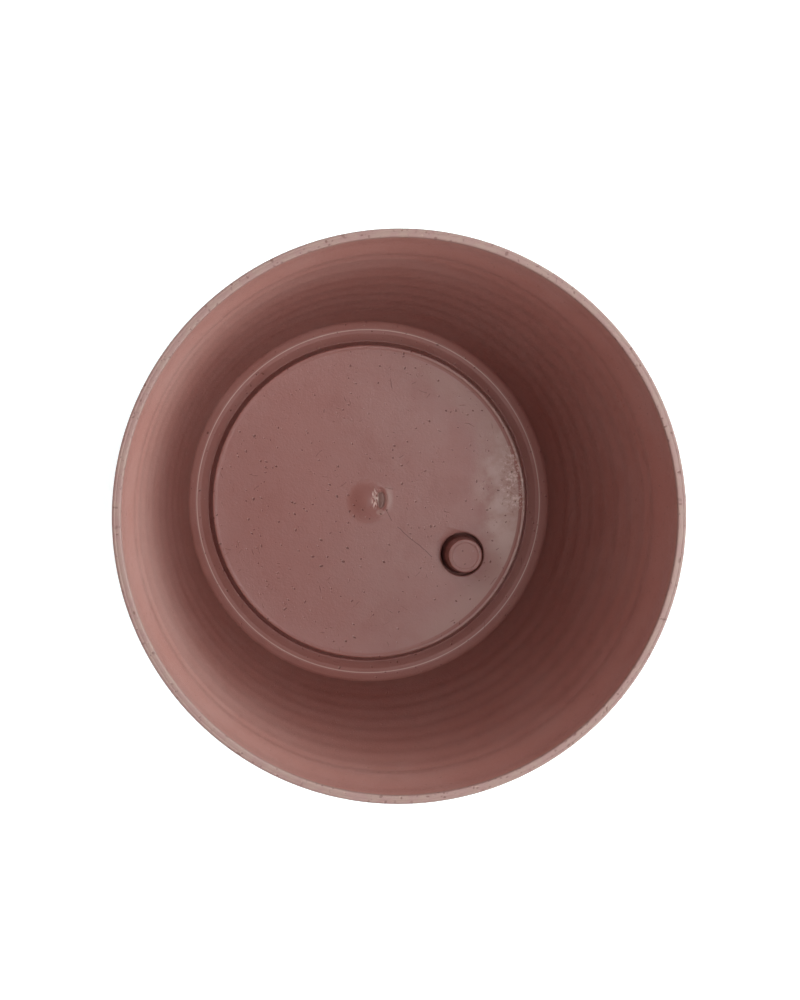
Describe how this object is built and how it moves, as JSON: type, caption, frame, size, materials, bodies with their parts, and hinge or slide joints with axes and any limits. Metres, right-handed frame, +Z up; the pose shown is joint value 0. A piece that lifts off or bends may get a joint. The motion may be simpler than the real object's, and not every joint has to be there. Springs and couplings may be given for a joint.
{
  "type": "planter pot",
  "caption": "Round tapered plant pot with a rounded lip, ringed wall, hollow standing ring, raised floor disc and a lift-out drain plug with a finger grip.",
  "frame": {"origin": "centre of the standing ring, on the surface that the pot stands on", "axes": "+Z up along the pot's own axis towards its open mouth; the drain plug lies 29.6 degrees from +X towards -Y"},
  "size_m": [0.15, 0.15, 0.135],
  "materials": {
    "pot_composite": "satin moulded fibre composite, dusty rose with fine dark specks",
    "plug_composite": "satin moulded fibre composite, dusty rose with fine dark specks"
  },
  "bodies": {
    "pot": {"pot_body": "pot_composite"},
    "plug": {"drain_plug": "plug_composite"}
  },
  "joints": [
    {"name": "plug_lift", "type": "slide", "parent": "pot", "child": "plug", "axis": [0, 0, 1], "range_m": [0, 0.14]}
  ]
}
